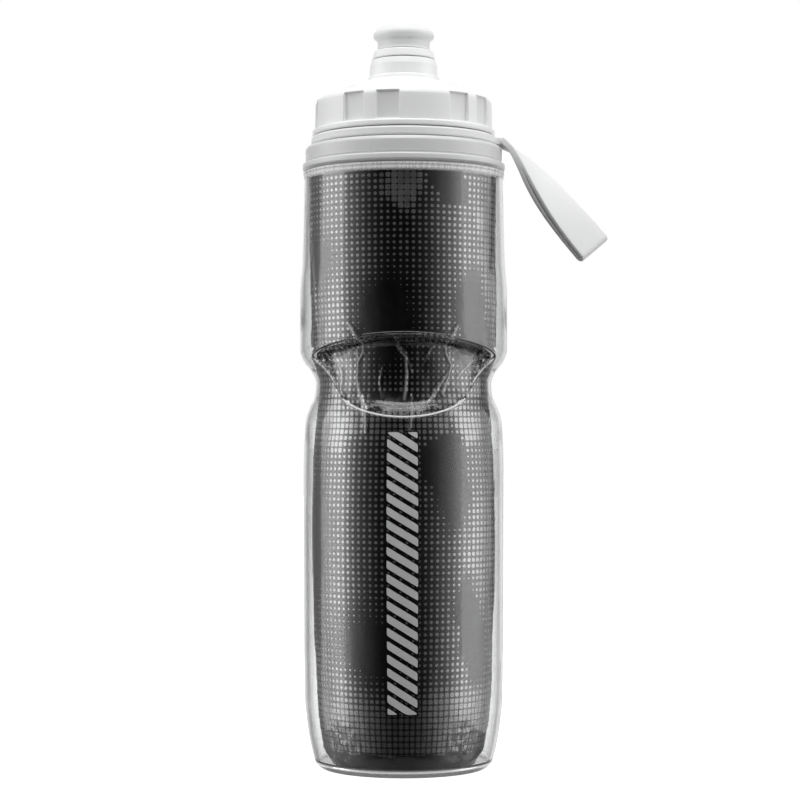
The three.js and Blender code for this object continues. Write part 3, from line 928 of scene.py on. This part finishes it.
def build_cap():
    def span(radius_low, radius_high, low, high, step):
        rows = heights_between(low, high, step)
        radii = np.linspace(radius_low, radius_high, len(rows))
        return list(zip(radii.tolist(), rows))

    outline = [(CAP_BORE, 224.3), (32.3, 224.3, 0.2), (32.6, 224.7, 0.2), (32.6, 226.0, 0.25),
               (31.75, 226.35, 0.15)]
    outline += span(31.7, 31.69, 226.6, 227.2, 0.1)[:-1] + span(31.69, 31.51, 227.2, 235.6, 1.2)
    outline += span(31.46, 31.2, 235.9, 236.5, 0.12) + [(31.1, 236.7), (30.8, 237.05, 0.3)]
    outline += [(29, 237.7, 0.6), (20.7, 240.95, 0.25), (20.3, 241.5, 0.25),
                (12.95, 244, 0.25), (12.75, 245.2, 0.2), (12.15, 245.5, 0.2),
                (12.1, 249.4, 0.8), (11.5, 251.5, 0.25), (10.9, 251.6), (10, 251.6, 0.15),
                (10, 244.9), (6.2, 244.9), (6.2, 254.2, 0.1), (6.9, 254.2, 0.1),
                (6.9, 254.9, 0.1), (5.4, 254.9, 0.1), (5.4, 256.9, 0.1), (6.9, 256.9, 0.1),
                (6.9, 257.6, 0.2), (3.7, 257.6, 0.3), (3.7, 242.9), (12, 241.9), (23.6, 237.6),
                (23.6, 232.5, 0.3), (25.1, 232.5, 0.3), (25.1, 235.3), (CAP_BORE, 235.3)]
    outline += [(CAP_BORE, z) for z in heights_between(235.0, 224.6, 0.32)]
    cap = revolve("screw_cap_moulding", rounded(outline), cap_angles(), cap_shape, 32)
    _, z, radius = around(cap.data.vertices)
    # Painted shade in the grip pockets: 0 on the land, rising to 1 on the pocket floors.
    in_band = (z > POCKET_LOW + 0.2) & (z < POCKET_HIGH - 0.2) & (radius > CAP_BORE + 0.4)
    store(cap, "painted_pocket_shade", np.where(in_band, np.clip((31.1 - radius) / 0.6, 0, 1), 0.0))
    return cap


dress(build_cap(), white, "cap", "white_plastic", "screw_cap")

gasket = revolve("cap_gasket_ring", rounded([
    (25.5, 233.8, 0.25), (28.8, 233.8, 0.25), (28.8, 235, 0.25), (25.5, 235, 0.25),
]), 160)
dress(gasket, seal, "cap_seal", "seal_rubber", "cap_gasket")


def build_valve_stem():
    """The closing pin and its three fins, one surface: the fins are the pin swollen outwards."""
    def finned(radius, azimuth, z):
        off = np.radians(wrapped(azimuth - 90, 120.0))
        reach = np.where(z < 242.3, 5.2, np.where(z < 242.7, 3.4 + (242.7 - z) * 4.5, 3.4))
        reach = reach + (PIN_RADIUS - reach) * smooth((z - 251.5) / 2.2)
        across = FIN_HALF_THICKNESS / np.maximum(np.abs(np.sin(off)), 1e-4)
        fin = np.minimum(reach, across)
        blade = np.where(z < 254, np.maximum(radius, fin), radius)
        return np.where(radius > 1.0, blade, radius), z

    rows = [241.6, 242.0, 242.3, 242.45, 242.7] + heights_between(243.5, 251.5, 1.2)
    rows += heights_between(251.9, 254.0, 0.35)
    outline = [(0, 241.6)] + [(PIN_RADIUS, z) for z in rows]
    outline += [(PIN_RADIUS, 256, 0.5), (2.3, 257.5, 0.6), (2.3, 262.6, 0.5), (1.7, 263.15, 0.35),
                (0, 263.2)]
    return revolve("valve_stem_pin", rounded(outline), 168, finned, 30)


dress(build_valve_stem(), white, "cap", "white_plastic", "valve_stem")

ring_turn = np.linspace(0, 2 * math.pi, 20, endpoint=False)
o_ring = revolve("spout_o_ring_seal", np.stack(
    [6.35 + 0.65 * np.cos(ring_turn), 255.9 + 0.65 * np.sin(ring_turn)], -1), 112)
dress(o_ring, seal, "cap", "seal_rubber", "spout_o_ring")

# ---- nozzle

sleeve = revolve("nozzle_sleeve_moulding", rounded([
    (6.5, 245.9), (9.6, 245.9, 0.2), (9.6, 251.9), (11, 251.9, 0.1), (11.2, 252.2, 0.15),
    (10.65, 254.5, 0.3), (10.2, 254.9, 0.25), (8.2, 254.9), (8.2, 258.6), (7.3, 258.6),
    (7.3, 246.9), (6.5, 246.9),
]), 144)
dress(sleeve, white, "nozzle", "white_plastic", "nozzle_sleeve")

mouthpiece = revolve("soft_mouthpiece", rounded([
    (8.55, 255.2), (9.6, 255.2, 0.15), (9.3, 256, 0.4), (9.3, 258, 0.6), (9.7, 258.9, 0.5),
    (10.6, 259.5, 0.4), (10.85, 260.3, 0.5), (10.7, 261.2, 0.6), (9.7, 262.5, 1.0),
    (8, 263.5, 1.2), (6.4, 263.9, 0.8), (4.2, 263.8, 0.6), (3, 263.3, 0.4), (2.7, 262.6, 0.3),
    (2.7, 261.6, 0.2), (3.4, 261.2), (7.2, 260.4), (8.55, 258.95),
]), 160)
dress(mouthpiece, rubber, "nozzle", "white_rubber", "mouthpiece")

# ---- strap


def strap_ring_shape(radius, azimuth, z):
    """The ring, with its outer wall drawn out into a flat tab on the right."""
    off = np.radians(wrapped(azimuth - 90, 360.0))
    beyond = np.abs(STRAP_TAB_REACH * np.sin(off)) - STRAP_WIDTH / 2
    tab = smooth(0.5 - beyond) * (np.abs(off) < 1) * smooth((223.5 - z) / 0.5)
    drawn = np.maximum(0, STRAP_TAB_REACH / np.cos(off * tab) - STRAP_RING_RADIUS)
    return np.where(radius > 30, radius + tab * drawn, radius), z


strap_ring = revolve("strap_neck_ring_band", rounded(
    [(27.7, 220.9, 0.3), (32.5, 220.9, 0.3), (STRAP_RING_RADIUS, 221.4, 0.3)]
    + [(STRAP_RING_RADIUS, z) for z in heights_between(221.8, 223.1, 0.2)]
    + [(STRAP_RING_RADIUS, 223.3, 0.3), (32.5, 223.9, 0.3), (27.7, 223.9, 0.3)]),
    288, strap_ring_shape)
dress(strap_ring, rubber, "strap_ring", "white_rubber", "strap_neck_ring")


def on_curve(t, points, knots):
    def between(p, q, i, j):
        return ((knots[j] - t) * p + (t - knots[i]) * q) / (knots[j] - knots[i])

    a, b, c, d = points
    first, second, third = between(a, b, 0, 1), between(b, c, 1, 2), between(c, d, 2, 3)
    return between(between(first, second, 0, 2), between(second, third, 1, 3), 1, 2)


def smooth_path(points, samples=60):
    """A centripetal Catmull-Rom curve in the XZ plane: its length, and a function that gives
    the point and direction at any length along it, straight on beyond either end."""
    points = [np.array(p, float) for p in points]
    points = [2 * points[0] - points[1]] + points + [2 * points[-1] - points[-2]]
    dense = []
    for near in zip(points, points[1:], points[2:], points[3:]):
        knots = [0.0]
        for p, q in zip(near, near[1:]):
            knots.append(knots[-1] + math.sqrt(np.linalg.norm(q - p)))
        for t in np.linspace(knots[1], knots[2], samples, endpoint=False):
            dense.append(on_curve(t, near, knots))
    dense = np.array(dense + [points[-2]])
    along = np.append(0, np.cumsum(np.linalg.norm(np.diff(dense, axis=0), axis=1)))
    length = float(along[-1])

    def point_at(s):
        return np.array([np.interp(s, along, dense[:, k]) for k in (0, 1)])

    def at(s):
        inside = min(max(s, 0.0), length)
        ahead = point_at(min(inside + 0.4, length)) - point_at(max(inside - 0.4, 0))
        ahead /= np.linalg.norm(ahead)
        return point_at(inside) + ahead * (s - inside), ahead

    return length, at


def build_strap():
    length, at = smooth_path(STRAP_PATH)
    half, edge = STRAP_THICKNESS / 2, STRAP_EDGE

    def spread(s):
        return 0.3 + 0.85 * float(smooth(s / 26))

    fold_centre = length - spread(length) - half
    solid = [float(s) for s in np.linspace(-1.3, STRAP_SLOT_START, 14)]
    split = [float(s) for s in np.linspace(STRAP_SLOT_START, fold_centre, 60)][1:]
    turns = [math.radians(a) for a in np.linspace(90, -90, 17)][1:-1]

    def place(s, t, w):
        centre, ahead = at(s)
        ratio = min(max(s / length, 0), 1)
        twist = STRAP_TWIST * math.sin(math.pi / 2 * ratio)
        forward = Vector((ahead[0], 0, ahead[1]))
        back = Vector((0, 1, 0))
        up = forward.cross(back)
        across = back * math.cos(twist) + up * math.sin(twist)
        outward = up * math.cos(twist) - back * math.sin(twist)
        return (Vector((centre[0], 0, centre[1])) + outward * t + across * w) * MM

    flat = STRAP_WIDTH / 2 - edge
    rows = [-flat - edge * math.sin(a) for a in np.radians(np.linspace(90, 15, 5))]
    rows += list(np.linspace(-flat, flat, 13))
    rows += [flat + edge * math.sin(a) for a in np.radians(np.linspace(15, 90, 5))]
    vertices, loops = [], []
    for w in rows:
        beyond = max(0.0, abs(w) - flat)
        thin = half - edge + math.sqrt(max(edge * edge - beyond * beyond, 0))
        crown = 0.05 * (1 - (w / flat) ** 2) if abs(w) < flat else 0
        outer = [(s, spread(s) + thin + crown) for s in solid + split]
        inner = [(s, spread(s) - thin) for s in [STRAP_SLOT_START] + split]
        reach = spread(length)
        outer += [(fold_centre + (reach + thin + crown) * math.cos(a),
                   (reach + thin + crown) * math.sin(a)) for a in turns]
        inner += [(fold_centre + (reach - thin) * math.cos(a), (reach - thin) * math.sin(a))
                  for a in turns]
        mirror = len(solid + split)
        outer += [(s, -t) for s, t in outer[:mirror]][::-1]
        inner += [(s, -t) for s, t in inner[:len(split) + 1]][::-1]
        start = len(vertices)
        vertices += [place(s, t, w) for s, t in outer + inner]
        loops.append((start, len(outer), start + len(outer), len(inner)))
    faces = []
    for (a, n, c, m), (b, _, d, _) in zip(loops[:-1], loops[1:]):
        faces += [(a + i, a + (i + 1) % n, b + (i + 1) % n, b + i) for i in range(n)]
        faces += [(c + (i + 1) % m, c + i, d + i, d + (i + 1) % m) for i in range(m)]
    for side, (a, n, c, m) in enumerate((loops[0], loops[-1])):
        lead = len(solid) - 1
        caps = [(a + i, a + i + 1, a + n - 2 - i, a + n - 1 - i) for i in range(lead)]
        caps.append((a + lead, c, c + m - 1, a + n - 1 - lead))
        caps += [(a + lead + i, a + lead + i + 1, c + i + 1, c + i) for i in range(m - 1)]
        faces += [f[::-1] for f in caps] if side == 0 else caps
    return new_object("carry_strap_loop", vertices, faces, 50)


strap = build_strap()
strap.data.materials.append(rubber)
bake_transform(strap)
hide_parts("strap_loop")

# ---- studio


# Light level of the surroundings by angle from the front, for light that has been reflected.
WORLD_STRENGTH = 1.5
WORLD_STOPS = [
    (180, 0.67), (157, 0.62), (147, 0.26), (128, 0.22), (113, 0.36), (102, 0.74), (78, 0.74),
    (68, 0.58), (53, 0.25), (40, 0.085), (28, 0.03), (15, 0.01),
]
DARK_TURN = math.radians(4)
FLOOR_RADII = (0.12, 0.3, 0.7, 1.6, 4.0)
FLOOR_COLUMNS = 96
FLOOR_DROP = 0.0002


def unbounced(tree):
    """1 for light that has only gone straight or through clear plastic on its way to the eye."""
    path = add(tree, "LightPath")
    bounces = calc("ADD", path.outputs["Diffuse Depth"], path.outputs["Glossy Depth"])
    return calc("LESS_THAN", bounces, 0.5)


def build_floor():
    """A pale floor, which leaves out the light it would throw back at the bottle."""
    count = FLOOR_COLUMNS
    turns = [2 * math.pi * i / count for i in range(count)]
    vertices = [(0.0, 0.0, 0.0)]
    for radius in FLOOR_RADII:
        vertices += [(radius * math.cos(turn), radius * math.sin(turn), 0.0) for turn in turns]
    faces = [(0, 1 + i, 1 + (i + 1) % count) for i in range(count)]
    for ring in range(len(FLOOR_RADII) - 1):
        a, b = 1 + ring * count, 1 + (ring + 1) * count
        faces += [(a + i, b + i, b + (i + 1) % count, a + (i + 1) % count)
                  for i in range(count)]
    floor = new_object("studio_floor", vertices, faces)
    floor.location.z = -FLOOR_DROP
    material, tree = new_material("pale_floor")
    place = add(tree, "TexCoord").outputs["Object"]
    pale = add(tree, "BsdfPrincipled", {
        "Base Color": mix_colour(noise(place, 60), grey(0.90), grey(0.93)), "Roughness": 0.7,
        "Emission Color": grey(1.0), "Emission Strength": 0.60,
    })
    clear_of_bounces = add(tree, "MixShader", {
        0: unbounced(tree), 1: add(tree, "BsdfTransparent").outputs[0], 2: pale.outputs[0],
    })
    material.cycles.emission_sampling = "NONE"
    floor.data.materials.append(finish_material(material, tree, clear_of_bounces))


def build_world():
    """Bright sides, a darker front and a dimmer back. It is plain white wherever the backdrop
    is seen directly, and straight behind the bottle also through clear plastic."""
    world = bpy.data.worlds.new("studio")
    bpy.context.scene.world = world
    world.use_nodes = True
    tree = world.node_tree
    tree.nodes.clear()
    direction = add(tree, "TexCoord").outputs["Generated"]
    x, y, z = add(tree, "SeparateXYZ", {"Vector": direction}).outputs
    towards_front = calc("MULTIPLY_ADD", y, -math.cos(DARK_TURN),
                         times(x, -math.sin(DARK_TURN)))
    bands = add(tree, "ValToRGB", {"Fac": calc("MULTIPLY_ADD", towards_front, 0.5, 0.5)})
    stops = bands.color_ramp.elements
    while len(stops) < len(WORLD_STOPS):
        stops.new(0.5)
    for stop, (angle, level) in zip(stops, WORLD_STOPS):
        stop.position = 0.5 + 0.5 * math.cos(math.radians(angle))
        stop.color = (level, level, level, 1)
    level = times(WORLD_STRENGTH, ramp(times(z, -1.0), 0.15, 0.6, 1.0, 0.6))
    behind = ramp(towards_front, -0.97, -0.80, 1.0, 0.0)
    direct = calc("MAXIMUM", times(behind, unbounced(tree)),
                  add(tree, "LightPath").outputs["Is Camera Ray"])
    background = add(tree, "Background", {
        "Color": mix_colour(direct, bands.outputs["Color"], grey(1.0)),
        "Strength": calc("ADD", direct, times(level, one_minus(direct))),
    })
    output = add(tree, "OutputWorld")
    tree.links.new(background.outputs[0], output.inputs["Surface"])


def softbox(name, place, target, size, power):
    light = bpy.data.lights.new(name, "AREA")
    light.shape = "RECTANGLE"
    light.size, light.size_y = size
    light.energy = power
    obj = linked(name, light)
    obj.location = place
    obj.rotation_euler = (Vector(target) - Vector(place)).to_track_quat("-Z", "Y").to_euler()
    obj.visible_camera = False


def build_camera():
    data = bpy.data.cameras.new("camera")
    data.lens = 99.0
    data.sensor_width = 36.0
    data.clip_start, data.clip_end = 0.02, 50.0
    camera = linked("camera", data)
    camera.location = (-0.00132, -0.785, 0.115)
    camera.rotation_euler = (math.radians(90 + 1.1146), 0, 0)
    bpy.context.scene.camera = camera


build_floor()
build_world()
softbox("left_softbox", (-0.9, 0.0, 0.13), (0, 0, 0.13), (0.6, 0.75), 1.55)
softbox("right_softbox", (0.9, 0.07, 0.13), (0, 0, 0.13), (0.86, 0.75), 1.6)
softbox("top_softbox", (0, -0.3, 1.2), (0, 0, 0.2), (0.6, 0.6), 3.0)
softbox("front_softbox", (0, -0.75, 0.95), (0, 0, 0.14), (0.9, 0.5), 4.2)
build_camera()
bpy.context.scene.view_settings.view_transform = "Standard"
